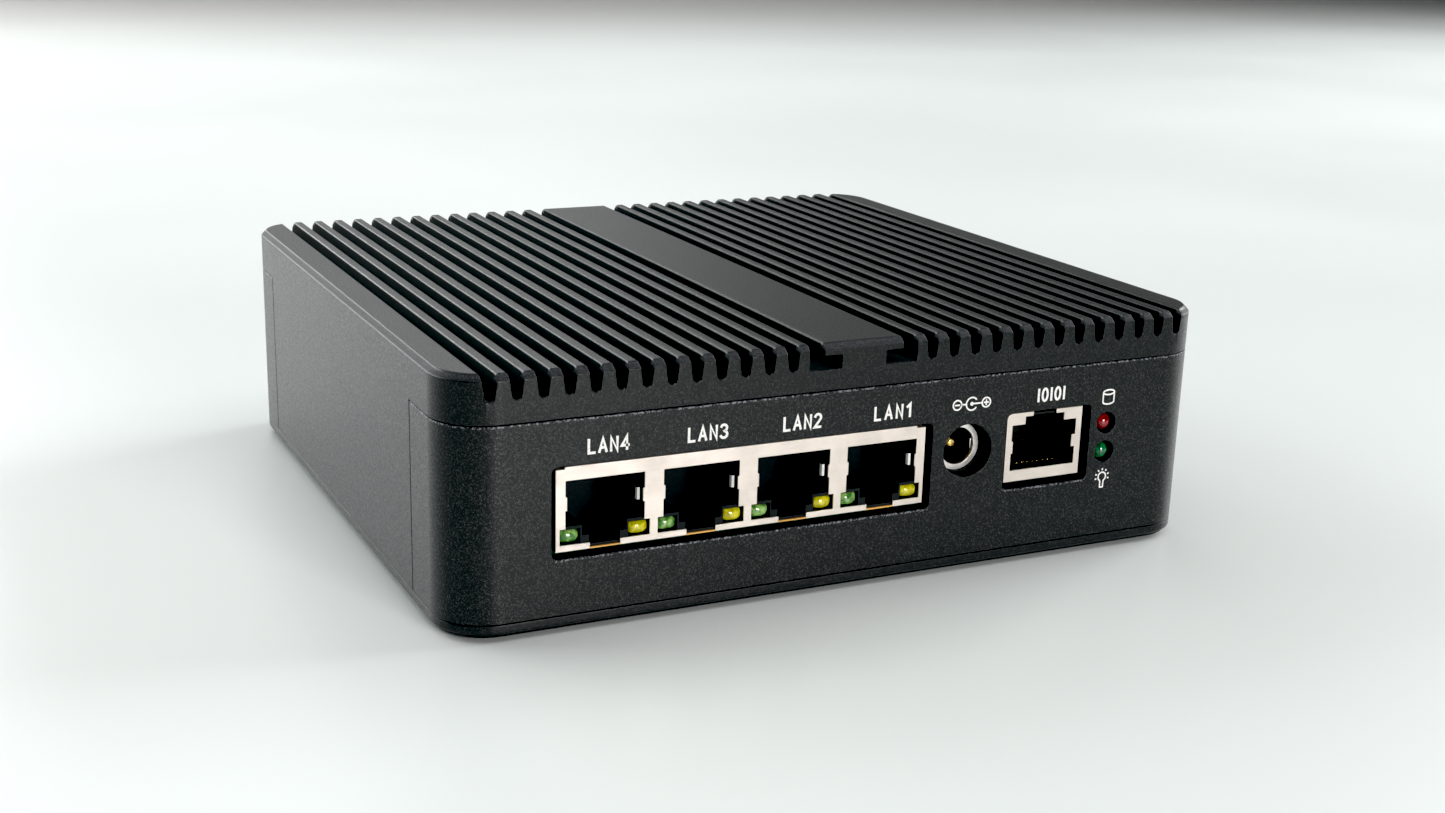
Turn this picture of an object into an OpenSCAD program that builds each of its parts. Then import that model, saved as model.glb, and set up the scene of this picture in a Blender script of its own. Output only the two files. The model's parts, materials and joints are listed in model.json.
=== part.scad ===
// Fanless firewall appliance: a finned aluminium case around one circuit board, in named pieces.
// Millimetres. X runs across the front, Y from the front face to the rear face, Z up.
// The origin is on the surface that the feet stand on, under the middle of the case.

/* [Case] */
// Width across the case
case_w = 134; // [134:1:150]
// Depth from the front face to the rear face
case_d = 124; // [124:1:140]
// Height of the fin tops above the surface
case_top = 40.5; // [40.5:0.5:46]
// Radius of the four upright corners
corner_r = 8.5; // [7:0.5:9]
// Thickness of the front and rear walls
wall_t = 2.5; // [2:0.1:2.8]
// Thickness of the side skirts and of the panels' side returns
side_t = 3; // [2.5:0.1:3.2]
// Height of the seam between the fin cover and the panels
seam_z = 33; // [32.5:0.1:33.5]
// Gap that shows as a seam between two case pieces
seam_gap = 0.15; // [0.05:0.05:0.3]
// Length of the front panel's side returns
front_return = 17.4; // [16:0.2:20]
// Length of the rear panel's side returns
rear_return = 16; // [15:0.2:20]
// Width of the bevel round the top edge
top_bevel = 1; // [0.6:0.1:2]
// Height of the bottom plate's underside above the surface
foot_gap = 0.5; // [0.3:0.1:1]
// Height of the bottom plate's top face
plate_top = 2.75; // [2.5:0.05:3]
// Inset of the bottom plate's lower edge
plate_bevel = 1; // [0.5:0.1:1.2]

/* [Cooling fins] */
// Distance from one fin to the next
fin_pitch = 4; // [3.8:0.1:5]
// Distance of the first slot from the middle
first_slot_x = 12.3; // [12.3:0.1:14]
// Width of a slot near its mouth
slot_w = 2.2; // [1.6:0.1:2.3]
// Width of a slot at its round floor
slot_low_w = 1.4; // [1:0.1:1.5]
// Depth of a slot
slot_depth = 4; // [3:0.1:4]
// Radius of the rounded fin tops
fin_round = 0.45; // [0.3:0.05:0.6]
// Width of the solid edge outside the last slot
edge_land = 5.3; // [5:0.1:9]
// Half width of the flat strip along the middle
strip_half_w = 7; // [6.5:0.1:7.1]
// Width of the undercut channel beside the strip
channel_w = 2.5; // [2:0.1:2.6]
// Reach of the channel's foot under the strip
channel_foot = 3.1; // [1:0.1:4]

/* [Circuit board] */
// Height of the board's top face
board_top = 12.7; // [12.7:0.1:12.9]
// Thickness of the board
board_t = 1.6; // [1.4:0.1:1.6]

/* [Network sockets] */
// Number of network sockets in the row
lan_count = 4; // [1:1:4]
// Distance from one network socket to the next
lan_pitch = 15.6; // [15.4:0.1:16]
// Middle of the first network socket
lan_first_x = -42.7; // [-43:0.1:-42]
// Top of the network sockets' shield
lan_top = 25.4; // [25.2:0.1:25.5]

/* [Console socket] */
// Middle of the console socket
console_x = 34.8; // [34:0.1:35]

/* [Power inlet and lamps] */
// Middle of the power inlet
jack_x = 20; // [19.5:0.1:20.5]
// Height of the power inlet's middle
jack_z = 20.5; // [20:0.1:20.8]
// Radius of the panel's hole for the power inlet
jack_hole_r = 4.5; // [4.4:0.05:4.8]
// Middle of the two status lamps
lamp_x = 47.25; // [47:0.05:47.5]
// Height of the disk lamp
disk_lamp_z = 22.4; // [22:0.1:22.6]
// Height of the power lamp
power_lamp_z = 17.4; // [17:0.1:17.6]

/* [Rear side] */
// Middle of the power button
button_x = -33; // [-35:0.5:-30]
// Height of the power button's middle
button_z = 20; // [19.5:0.5:20.5]
// Radius of the power button's cap
button_r = 4.2; // [3.8:0.1:4.5]
// Height of the button's cap above the rear face
button_proud = 1; // [0.6:0.1:1.4]
// Travel of the power button
button_travel = 0.8; // [0.4:0.1:0.8]
// Middle of the pair of stacked USB sockets
usb_x = -8; // [-9:0.5:-6]
// Middle of the video socket
video_x = 16; // [14:0.5:18]
// Distance of each aerial hole from the middle
aerial_x = 47.5; // [46:0.5:48]
// Height of the aerial holes
aerial_z = 24.5; // [24:0.5:25]

/* [Mounting holes] */
// Side of the square of threaded mounting holes
vesa_side = 75; // [50:25:75]
// Radius of a mounting hole
vesa_r = 2; // [1.9:0.05:2.1]

/* [Hidden] */
$fn = 48;

eps = 0.05;
fit_gap = 0.05;
big = 200;
half_w = case_w / 2;
half_d = case_d / 2;
front_y = -half_d;
rear_y = half_d;
inner_x = half_w - side_t;
panel_in_y = half_d - wall_t;
panel_low = plate_top + seam_gap / 2;
panel_high = seam_z - seam_gap / 2;
cover_low = seam_z + seam_gap / 2;
slot_floor = case_top - slot_depth;
slots_a_side = floor((half_w - edge_land - slot_w / 2 - first_slot_x) / fin_pitch) + 1;

// Screws and standoffs, all M3
thread_r = 1.5;
thread_bore_r = 1.55;
clear_r = 1.7;
screw_head_r = 2.9;
screw_head_h = 1.7;
hex_key_d = 2.3;
hex_key_depth = 1;
case_screw_x = half_w - corner_r;
case_screw_y = half_d - corner_r;
case_screw_top = cover_low + 2.6;
post_w = 9.5;

board_low = board_top - board_t;
board_gap = 0.3;
board_half_w = inner_x - 3.5;
board_front_y = -panel_in_y + board_gap;
board_rear_y = panel_in_y - 3.5;
board_notch = post_w + board_gap + 0.2;
standoff_x = inner_x - 6.5;
standoff_front_y = -40;
standoff_rear_y = 44;
standoff_across = 5.5;
board_spots = [
    for (sx = [-1, 1], y = [standoff_front_y, standoff_rear_y]) [sx * standoff_x, y]
];

// Where the front connectors' faces and tails lie
face_y = front_y + 0.1;
sheet_t = 0.3;
shield_low = board_top + eps;
lan_lo_x = lan_first_x - lan_pitch / 2;
lan_hi_x = lan_first_x + (lan_count - 0.5) * lan_pitch;
lan_tail_y = front_y + 22;
lan_cut_low = 11.6;
lan_cut_high = 25.85;
console_lo_x = console_x - 7.4;
console_hi_x = console_x + 7.4;
console_low = 14.2;
console_top = 25.85;
console_tail_y = front_y + 17;
console_bend_r = 1;
cut_r = 1;

// An 8-way network socket: half widths and heights of its stepped mouth
port_half_w = 6.25;
port_depth = 11.3;
lens_w = 3.3;
lens_h = 2.2;
lens_low = 13.75;
lens_edge = 7.15;
lens_recess = 0.5;
frame_half_w = 3.5;
frame_top = 16.5;
step_half_w = 2.4;
step_top = 14.9;
key_floor = 13.4;
port_top = 23.6;
contact_count = 8;
contact_pitch = 1.02;
contact_w = 0.4;
contact_t = 0.25;
contact_len = 9.5;
contact_tilt = 12;

lamp_r = 1.5;
lamp_hole_r = 1.85;
lamp_tail_y = front_y + 8;
jack_outer_r = 4.05;
jack_inner_r = 3.1;
jack_face_y = front_y + 3.1;
jack_floor_y = front_y + 12.8;
behind_panel_y = board_front_y - 0.1;

rear_face_y = rear_y + 0.4;
usb_half_w = 6.6;
usb_top = 28.2;
video_half_w = 7.5;
video_top = 18.6;
cut_clear = 0.4;
aerial_r = 3.25;

// Power button and the switch behind it
button_gap = 0.3;
button_flange_r = 5.4;
button_flange_y = panel_in_y - button_gap;
button_flange_t = 1.2;
stem_r = 2.2;
plunger_r = 1.6;
plunger_gap = 0.08;
switch_front_y = panel_in_y - 6.5;
switch_depth = 6;
stem_end_y = switch_front_y + button_travel + 0.6;
plunger_tail_y = switch_front_y - 2;

// Memory socket under the board, with its module lying flat
memory_x = -18;
memory_y = 5;
module_w = 67.6;
module_len = 30;
module_t = 1;
module_low = 7.6;
slot_bar_d = 6.5;
slot_bar_bite = 3;
arm_gap = 0.3;
arm_w = 1.5;
arm_len = 24;
latch_t = 0.4;
latch_h = 3;
latch_len = 22;
latch_in_x = module_w / 2 + 2 * arm_gap + arm_w;
hook_reach = 0.6;
hook_len = 3;
hook_t = 0.4;
hook_gap = 0.2;
latch_root_y = memory_y + slot_bar_d + 4;
pivot_r = 0.45;
pivot_bore_r = 0.51;
ear_h = 0.8;
ear_w = 1.8;

// Solid-state drive card under the board
drive_x = 38.5;
drive_w = 29.8;
drive_len = 50.9;
drive_bar_y = 38;
drive_bar_d = 7;
drive_card_low = 7.5;
drive_card_t = 1;
drive_rear_y = drive_bar_y + 3;
drive_front_y = drive_rear_y - drive_len;
drive_screw_dx = 12;
drive_screw_y = drive_front_y + 3;

// Processor and the block that carries its heat to the cover
cpu_x = -5;
cpu_y = 5;
substrate_t = 0.8;
die_t = 0.6;
pad_t = 0.5;
spreader_w = 44;
spreader_low = board_top + substrate_t + die_t + pad_t;
spreader_high = cover_low - pad_t;
spreader_screw_dx = 17;

// Where the other pieces stand on the board's top face
network_chip_y = -23;
transformer_y = -33.5;
firmware_x = -38;
io_x = 33;
small_chip_y = -8;
power_x = 24;
power_pitch = 9.5;
transistor_y = 4;
inductor_y = 12;
can_y = 22.5;
can_pitch = 7.6;
battery_x = -43;
battery_y = 18;
data_port_x = -43;
data_port_y = 40;
power_header_x = -22;
power_header_y = 41;
service_x = 44;
service_y = 36;

module block(lo, hi) {
    translate(lo)
        cube(hi - lo);
}

module rounded_rect(w, d, r) {
    square([w, d - 2 * r], center = true);
    square([w - 2 * r, d], center = true);
    for (sx = [-1, 1], sy = [-1, 1])
        translate([sx * (w / 2 - r), sy * (d / 2 - r)])
            circle(r = r);
}

// Turns an outline drawn in X and Z into a bar from y0 to y1
module along_y(y0, y1) {
    translate([0, y1, 0])
        rotate([90, 0, 0])
            linear_extrude(y1 - y0)
                children();
}

// Turns an outline drawn in Y and Z into a bar from x0 to x1
module along_x(x0, x1) {
    translate([x0, 0, 0])
        rotate([90, 0, 90])
            linear_extrude(x1 - x0)
                children();
}

module rod_y(x, z, r, y0, y1) {
    translate([x, y0, z])
        rotate([-90, 0, 0])
            cylinder(r = r, h = y1 - y0);
}

module slab(w, d, r, z0, z1) {
    translate([0, 0, z0])
        linear_extrude(z1 - z0)
            rounded_rect(w, d, r);
}

// A layer of height h with upright corners of radius r, whose outline shrinks by c towards its top
module bevelled_layer(w, d, r, c, h) {
    along_y(r - d / 2, d / 2 - r)
        polygon([[-w / 2, 0], [w / 2, 0], [w / 2 - c, h], [c - w / 2, h]]);
    along_x(r - w / 2, w / 2 - r)
        polygon([[-d / 2, 0], [d / 2, 0], [d / 2 - c, h], [c - d / 2, h]]);
    for (sx = [-1, 1], sy = [-1, 1])
        translate([sx * (w / 2 - r), sy * (d / 2 - r), 0])
            cylinder(r1 = r, r2 = r - c, h = h);
}

module at_corners() {
    for (sx = [-1, 1], sy = [-1, 1])
        translate([sx * case_screw_x, sy * case_screw_y, 0])
            children();
}

module hex_rod(across, h) {
    cylinder(d = across / cos(30), h = h, $fn = 6);
}

// A chip or other flat piece that lies on the board's top face
module on_board(x, y, size) {
    translate([x - size.x / 2, y - size.y / 2, board_top])
        cube(size);
}

// The same under the board
module under_board(x, y, size) {
    translate([x - size.x / 2, y - size.y / 2, board_low - size.z])
        cube(size);
}

// The flare at a slot's mouth that rounds the edges on both sides of it
module flare(slot_half_w) {
    half_mouth = slot_half_w + fin_round;
    difference() {
        translate([-half_mouth, case_top - fin_round])
            square([2 * half_mouth, fin_round + eps]);
        for (side = [-1, 1])
            translate([side * half_mouth, case_top - fin_round])
                circle(r = fin_round);
    }
}

module fin_slot() {
    round_z = slot_floor + slot_low_w / 2;
    polygon([
        [-slot_w / 2, case_top - fin_round],
        [slot_w / 2, case_top - fin_round],
        [slot_low_w / 2, round_z],
        [-slot_low_w / 2, round_z]
    ]);
    translate([0, round_z])
        circle(d = slot_low_w);
    flare(slot_w / 2);
}

// The channel beside the middle strip: an upright slot with a foot that runs in under the strip
module centre_channel() {
    foot_h = 2.1;
    translate([strip_half_w, slot_floor])
        square([channel_w, slot_depth - fin_round]);
    translate([strip_half_w - channel_foot, slot_floor])
        square([channel_foot + channel_w, foot_h]);
    translate([strip_half_w + channel_w / 2, 0])
        flare(channel_w / 2);
}

module heatsink_cover() {
    bevel_low = case_top - top_bevel;
    color("#2b2a2d")
        difference() {
            union() {
                slab(case_w, case_d, corner_r, cover_low, bevel_low);
                translate([0, 0, bevel_low])
                    bevelled_layer(case_w, case_d, corner_r, top_bevel, top_bevel);
                for (side = [-1, 1])
                    translate([side * (half_w - side_t / 2), 0, 0])
                        block(
                            [-side_t / 2, front_y + front_return + seam_gap / 2, panel_low],
                            [side_t / 2, rear_y - rear_return - seam_gap / 2, bevel_low]
                        );
            }
            along_y(front_y - eps, rear_y + eps)
                for (side = [-1, 1])
                    mirror([side < 0 ? 1 : 0, 0]) {
                        centre_channel();
                        for (k = [0 : slots_a_side - 1])
                            translate([first_slot_x + k * fin_pitch, 0])
                                fin_slot();
                    }
            at_corners()
                translate([0, 0, cover_low - eps])
                    cylinder(r = thread_bore_r, h = case_screw_top - cover_low + 0.3);
            for (spot = board_spots)
                translate([spot.x, spot.y, cover_low - eps])
                    cylinder(r = thread_bore_r, h = 2.6);
            for (side = [-1, 1])
                translate([cpu_x + side * spreader_screw_dx, cpu_y, cover_low - eps])
                    cylinder(r = thread_bore_r, h = 2.6);
        }
}

// One end panel: a wall with two side returns and a screw post in each corner, standing at -Y
module end_panel(return_len) {
    difference() {
        slab(case_w, case_d, corner_r, panel_low, panel_high);
        block([post_w - inner_x, -panel_in_y, 0], [inner_x - post_w, big, big]);
        block([-inner_x, post_w - panel_in_y, 0], [inner_x, big, big]);
        block([-big, front_y + return_len - seam_gap / 2, 0], [big, big, big]);
        at_corners()
            cylinder(r = clear_r, h = big);
    }
}

module wall_cut(x0, x1, z0, z1, r) {
    along_y(front_y - 1, 1 - panel_in_y)
        translate([(x0 + x1) / 2, (z0 + z1) / 2])
            rounded_rect(x1 - x0, z1 - z0, r);
}

module wall_hole(x, z, r) {
    rod_y(x, z, r, front_y - 1, 1 - panel_in_y);
}

module front_panel() {
    console_cut_low = 12.9;
    console_cut_right = 1.7;
    lan_cut_right = 1.3;
    color("#333235")
        difference() {
            end_panel(front_return);
            wall_cut(lan_lo_x - 0.6, lan_hi_x + lan_cut_right, lan_cut_low, lan_cut_high, cut_r);
            wall_cut(console_lo_x - 0.2, console_hi_x + console_cut_right,
                console_cut_low, console_top + 0.1, cut_r);
            wall_hole(jack_x, jack_z, jack_hole_r);
            wall_hole(lamp_x, disk_lamp_z, lamp_hole_r);
            wall_hole(lamp_x, power_lamp_z, lamp_hole_r);
        }
}

module rear_panel() {
    cut_low = board_top - cut_clear;
    color("#333235")
        mirror([0, 1, 0])
            difference() {
                end_panel(rear_return);
                wall_cut(usb_x - usb_half_w - cut_clear, usb_x + usb_half_w + cut_clear,
                    cut_low, usb_top + cut_clear, cut_r);
                wall_cut(video_x - video_half_w - cut_clear, video_x + video_half_w + cut_clear,
                    cut_low, video_top + cut_clear, cut_r);
                wall_hole(button_x, button_z, button_r + button_gap);
                for (side = [-1, 1])
                    wall_hole(side * aerial_x, aerial_z, aerial_r);
            }
}

foot_x = half_w - 19;
foot_y = half_d - 19;
foot_r = 6;
foot_recess = 0.8;

module at_feet() {
    for (sx = [-1, 1], sy = [-1, 1])
        translate([sx * foot_x, sy * foot_y, 0])
            children();
}

module bottom_plate() {
    bevel_top = foot_gap + plate_bevel;
    color("#2f2e31")
        difference() {
            union() {
                slab(case_w, case_d, corner_r, bevel_top, plate_top);
                translate([0, 0, bevel_top])
                    mirror([0, 0, 1])
                        bevelled_layer(case_w, case_d, corner_r, plate_bevel, plate_bevel);
            }
            at_corners() {
                cylinder(r = clear_r, h = big);
                translate([0, 0, foot_gap - eps])
                    cylinder(r1 = screw_head_r + 0.2, r2 = clear_r, h = screw_head_h + eps);
            }
            at_feet()
                cylinder(r = foot_r + 0.2, h = foot_gap + foot_recess);
            for (sx = [-1, 1], sy = [-1, 1])
                translate([sx * vesa_side / 2, sy * vesa_side / 2, 0])
                    cylinder(r = vesa_r, h = big);
        }
}

module rubber_feet() {
    edge = 0.4;
    color("#1c1c1d")
        at_feet() {
            translate([0, 0, edge])
                cylinder(r = foot_r, h = foot_gap + foot_recess - edge);
            cylinder(r1 = foot_r - edge, r2 = foot_r, h = edge);
        }
}

// A countersunk screw that points up, with its head's face at the origin
module countersunk_screw(len) {
    difference() {
        union() {
            cylinder(r1 = screw_head_r, r2 = thread_r, h = screw_head_h - 0.1);
            cylinder(r = thread_r, h = len);
        }
        translate([0, 0, -eps])
            hex_rod(hex_key_d, hex_key_depth);
    }
}

module case_screws() {
    color("#3a3a3c")
        at_corners()
            translate([0, 0, foot_gap + 0.1])
                countersunk_screw(case_screw_top - foot_gap - 0.1);
}

module aerial_hole_plugs() {
    brim_r = 4.1;
    brim_t = 0.6;
    neck_gap = 0.1;
    lip_t = 1;
    color("#1e1e1f")
        for (side = [-1, 1]) {
            rod_y(side * aerial_x, aerial_z, brim_r, rear_y + neck_gap, rear_y + neck_gap + brim_t);
            rod_y(side * aerial_x, aerial_z, aerial_r - neck_gap,
                panel_in_y - neck_gap, rear_y + neck_gap);
            rod_y(side * aerial_x, aerial_z, aerial_r + 0.5,
                panel_in_y - neck_gap - lip_t, panel_in_y - neck_gap);
        }
}

module mainboard() {
    color("#1e5c3a")
        difference() {
            block(
                [-board_half_w, board_front_y, board_low],
                [board_half_w, board_rear_y, board_top]
            );
            for (sx = [-1, 1], sy = [-1, 1])
                translate([sx * (inner_x - board_notch / 2), sy * (panel_in_y - board_notch / 2), 0])
                    block(
                        [-board_notch / 2, -board_notch / 2, 0],
                        [board_notch / 2, board_notch / 2, big]
                    );
            for (spot = board_spots)
                translate([spot.x, spot.y, 0])
                    cylinder(r = clear_r, h = big);
        }
}

module board_standoffs() {
    color("#c9a24a")
        for (spot = board_spots)
            translate([spot.x, spot.y, board_top])
                difference() {
                    union() {
                        hex_rod(standoff_across, cover_low - board_top);
                        cylinder(r = thread_r, h = cover_low - board_top + 2.4);
                    }
                    translate([0, 0, -eps])
                        cylinder(r = thread_bore_r - 0.2, h = 6.5);
                }
}

module board_screws() {
    head_h = 1.9;
    shank_r = thread_r - 0.2;
    color("#b9bbbd")
        for (spot = board_spots)
            translate([spot.x, spot.y, board_low - head_h])
                difference() {
                    union() {
                        cylinder(r = 2.7, h = head_h);
                        cylinder(r = shank_r, h = head_h + board_t + 5.5);
                    }
                    translate([0, 0, -eps])
                        hex_rod(hex_key_d, hex_key_depth);
                }
}

module processor_substrate() {
    color("#2d6b45")
        on_board(cpu_x, cpu_y, [27, 25, substrate_t]);
}

module processor_die() {
    color("#5c6470")
        translate([0, 0, substrate_t])
            on_board(cpu_x, cpu_y, [12, 10, die_t]);
}

module thermal_pads() {
    color("#9fa6ad") {
        translate([0, 0, substrate_t + die_t])
            on_board(cpu_x, cpu_y, [14, 12, pad_t]);
        translate([0, 0, spreader_high - board_top])
            on_board(cpu_x, cpu_y, [26, spreader_w, pad_t]);
    }
}

module heat_spreader() {
    color("#b8bcc0")
        difference() {
            translate([0, 0, spreader_low - board_top])
                on_board(cpu_x, cpu_y, [spreader_w, spreader_w, spreader_high - spreader_low]);
            for (side = [-1, 1])
                translate([cpu_x + side * spreader_screw_dx, cpu_y, spreader_low - eps]) {
                    cylinder(r = clear_r, h = big);
                    cylinder(r1 = screw_head_r + 0.2, r2 = clear_r, h = screw_head_h + eps);
                }
        }
}

module spreader_screws() {
    color("#b9bbbd")
        for (side = [-1, 1])
            translate([cpu_x + side * spreader_screw_dx, cpu_y, spreader_low + 0.1])
                countersunk_screw(cover_low + 2.3 - spreader_low - 0.1);
}

module memory_socket() {
    bar_half_w = latch_in_x - 1.2;
    color("#d8d2c0")
        translate([memory_x, memory_y, 0]) {
            difference() {
                block([-bar_half_w, 0, 6.6], [bar_half_w, slot_bar_d, board_low]);
                block(
                    [-module_w / 2 - 0.1, slot_bar_d - slot_bar_bite, module_low - 0.1],
                    [module_w / 2 + 0.1, slot_bar_d + eps, module_low + module_t + 0.1]
                );
            }
            for (side = [-1, 1]) {
                translate([side * (module_w / 2 + arm_gap + arm_w / 2), slot_bar_d, 0])
                    block([-arm_w / 2, 0, module_low + 0.1], [arm_w / 2, arm_len, board_low]);
                latch_ear(side);
            }
        }
}

// The ear on the socket's arm that holds the upper end of a latch's pivot
module latch_ear(side) {
    pivot_x = side * (latch_in_x + latch_t / 2);
    ear_y = latch_root_y - memory_y;
    difference() {
        block(
            [pivot_x - ear_w / 2, ear_y - ear_w / 2, board_low - ear_h],
            [pivot_x + ear_w / 2, ear_y + ear_w / 2, board_low]
        );
        translate([pivot_x, ear_y, 0])
            cylinder(r = pivot_bore_r, h = big);
    }
}

module_rear_y = memory_y + slot_bar_d - slot_bar_bite + 0.1 + module_len;

module memory_module() {
    color("#1d5a37")
        translate([memory_x, 0, 0])
            block(
                [-module_w / 2, module_rear_y - module_len, module_low],
                [module_w / 2, module_rear_y, module_low + module_t]
            );
}

module memory_chips() {
    chip = [11.5, 10, 1.1];
    chip_pitch = 16;
    color("#1b1b1d")
        for (k = [-1.5 : 1.5], z = [module_low - chip.z, module_low + module_t])
            translate([memory_x + k * chip_pitch - chip.x / 2, module_rear_y - 8 - chip.y, z])
                cube(chip);
}

// A sheet-metal arm beside the module, whose hook holds the module's edge from below
module memory_latch(side) {
    tip_y = latch_root_y + latch_len;
    hook_high = module_low - hook_gap;
    color("#c4c6c8")
        translate([memory_x, 0, 0])
            mirror([side < 0 ? 1 : 0, 0, 0]) {
                block(
                    [latch_in_x, latch_root_y, hook_high - hook_t],
                    [latch_in_x + latch_t, tip_y, hook_high - hook_t + latch_h]
                );
                block(
                    [module_w / 2 - hook_reach, tip_y - hook_len, hook_high - hook_t],
                    [latch_in_x, tip_y, hook_high]
                );
                translate([latch_in_x + latch_t / 2, latch_root_y, hook_high - hook_t])
                    cylinder(r = pivot_r, h = board_low - 0.1 - hook_high + hook_t);
            }
}

module memory_latch_left() {
    memory_latch(-1);
}

module memory_latch_right() {
    memory_latch(1);
}

module drive_socket() {
    color("#26262a")
        difference() {
            under_board(drive_x, drive_bar_y + drive_bar_d / 2,
                [drive_w + 0.4, drive_bar_d, board_low - drive_card_low + 1]);
            block(
                [drive_x - drive_w / 2 - 0.1, drive_bar_y - eps, drive_card_low - 0.1],
                [drive_x + drive_w / 2 + 0.1, drive_rear_y + 0.1, drive_card_low + drive_card_t + 0.1]
            );
        }
}

module at_drive_screws() {
    for (side = [-1, 1])
        translate([drive_x + side * drive_screw_dx, drive_screw_y, 0])
            children();
}

module drive_board() {
    color("#1d5a37")
        difference() {
            block(
                [drive_x - drive_w / 2, drive_front_y, drive_card_low],
                [drive_x + drive_w / 2, drive_rear_y, drive_card_low + drive_card_t]
            );
            at_drive_screws()
                cylinder(r = 1.35, h = big);
        }
}

module drive_chips() {
    controller = [12, 12, 1.1];
    flash = [18, 14, 1];
    color("#1b1b1d") {
        translate([drive_x - controller.x / 2, drive_rear_y - 20, drive_card_low - controller.z])
            cube(controller);
        translate([drive_x - flash.x / 2, drive_rear_y - 38, drive_card_low - flash.z])
            cube(flash);
    }
}

module drive_standoffs() {
    color("#c9a24a")
        at_drive_screws()
            translate([0, 0, drive_card_low + drive_card_t])
                difference() {
                    cylinder(r = 2.4, h = board_low - drive_card_low - drive_card_t);
                    translate([0, 0, -eps])
                        cylinder(r = 1.05, h = big);
                }
}

module drive_screws() {
    head_h = 1.3;
    color("#b9bbbd")
        at_drive_screws()
            translate([0, 0, drive_card_low - head_h])
                difference() {
                    union() {
                        cylinder(r = 2.1, h = head_h);
                        cylinder(r = 1, h = head_h + drive_card_t + 2.2);
                    }
                    translate([0, 0, -eps])
                        hex_rod(1.6, 0.8);
                }
}

module expansion_socket() {
    bar = [30.2, 7, 4.4];
    y = -32;
    slot = [28, 3, 1.2];
    slot_low = 7.5;
    color("#26262a")
        difference() {
            under_board(drive_x, y, bar);
            translate([drive_x - slot.x / 2, y - bar.y / 2 - eps, slot_low])
                cube(slot);
        }
}

module network_chips() {
    color("#1b1b1d")
        for (i = [0 : lan_count - 1])
            on_board(lan_first_x + i * lan_pitch, network_chip_y, [7, 7, 0.9]);
}

module network_transformers() {
    color("#202022")
        for (i = [0 : lan_count - 1])
            on_board(lan_first_x + i * lan_pitch, transformer_y, [12.8, 7.2, 5.6]);
}

module firmware_chip() {
    color("#1b1b1d")
        on_board(firmware_x, small_chip_y, [5.2, 5.2, 1.8]);
}

module io_chip() {
    color("#1b1b1d")
        on_board(io_x, small_chip_y, [14, 14, 1.4]);
}

module power_inductors() {
    color("#4a4b4e")
        for (k = [0 : 3])
            on_board(power_x + power_pitch * k, inductor_y, [7, 7, 4]);
}

module power_capacitors() {
    can_r = 3.1;
    can_h = 6;
    color("#c3c6c9")
        for (k = [0 : 4])
            translate([power_x + can_pitch * k, can_y, board_top])
                cylinder(r = can_r, h = can_h);
}

module power_transistors() {
    color("#1b1b1d")
        for (k = [0 : 3])
            on_board(power_x + power_pitch * k, transistor_y, [5, 6, 1]);
}

cell_r = 10;
cell_h = 3.2;
holder_floor = 0.8;

module battery_holder() {
    color("#26262a")
        translate([battery_x, battery_y, board_top])
            difference() {
                cylinder(r = cell_r + 1.4, h = holder_floor + cell_h - 0.6);
                translate([0, 0, holder_floor])
                    cylinder(r = cell_r + 0.15, h = big);
            }
}

module coin_cell() {
    rim = 0.6;
    color("#d3d5d7")
        translate([battery_x, battery_y, board_top + holder_floor]) {
            cylinder(r = cell_r - rim, h = cell_h);
            translate([0, 0, rim])
                cylinder(r = cell_r, h = cell_h - rim);
        }
}

module drive_data_port() {
    body = [16.5, 6, 8.4];
    slot = [11.6, 2.6];
    slot_floor_h = 2;
    color("#26262a")
        difference() {
            on_board(data_port_x, data_port_y, body);
            translate([data_port_x - slot.x / 2, data_port_y - slot.y / 2, board_top + slot_floor_h])
                cube([slot.x, slot.y, big]);
        }
}

module drive_power_header() {
    body = [11, 5.8, 7];
    cavity = [9.4, 4.2];
    floor_h = 1;
    color("#e6e1d2")
        difference() {
            on_board(power_header_x, power_header_y, body);
            translate([
                power_header_x - cavity.x / 2,
                power_header_y - cavity.y / 2,
                board_top + floor_h
            ])
                cube([cavity.x, cavity.y, big]);
        }
}

module service_header() {
    pin_pitch = 2.54;
    pin_w = 0.64;
    pin_h = 6;
    columns = 5;
    base = [columns * pin_pitch, 2 * pin_pitch, 2.5];
    color("#1b1b1d") {
        on_board(service_x, service_y, base);
        for (column = [0 : columns - 1], row = [0, 1])
            translate([0, 0, base.z])
                on_board(
                    service_x + (column - (columns - 1) / 2) * pin_pitch,
                    service_y + (row - 0.5) * pin_pitch,
                    [pin_w, pin_w, pin_h]
                );
    }
}

// The sheet-metal box round a socket, open at the bottom, with its face at face_y
module shield_box(x0, x1, z0, z1, tail_y) {
    difference() {
        block([x0, face_y, z0], [x1, tail_y, z1]);
        block(
            [x0 + sheet_t, face_y + sheet_t, z0 - 1],
            [x1 - sheet_t, tail_y - sheet_t, z1 - sheet_t]
        );
    }
}

// A rectangle whose top left corner is round
module left_rounded(x0, x1, z0, z1, r) {
    difference() {
        translate([x0, z0])
            square([x1 - x0, z1 - z0]);
        difference() {
            translate([x0 - 1, z1 - r])
                square([1 + r, 1 + r]);
            translate([x0 + r, z1 - r])
                circle(r = r);
        }
    }
}

// The root of a grounding finger: a tab of sheet that stands into a shield's mouth from the edge at x
module finger(x, way, reach) {
    low = 19;
    high = 21.1;
    far_x = x + way * reach;
    block([min(x, far_x), face_y, low], [max(x, far_x), face_y + sheet_t, high]);
}

// Each network socket in turn, moved to its place in the row
module at_lan_ports() {
    for (i = [0 : lan_count - 1])
        translate([lan_first_x + i * lan_pitch, 0, 0])
            children();
}

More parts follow.
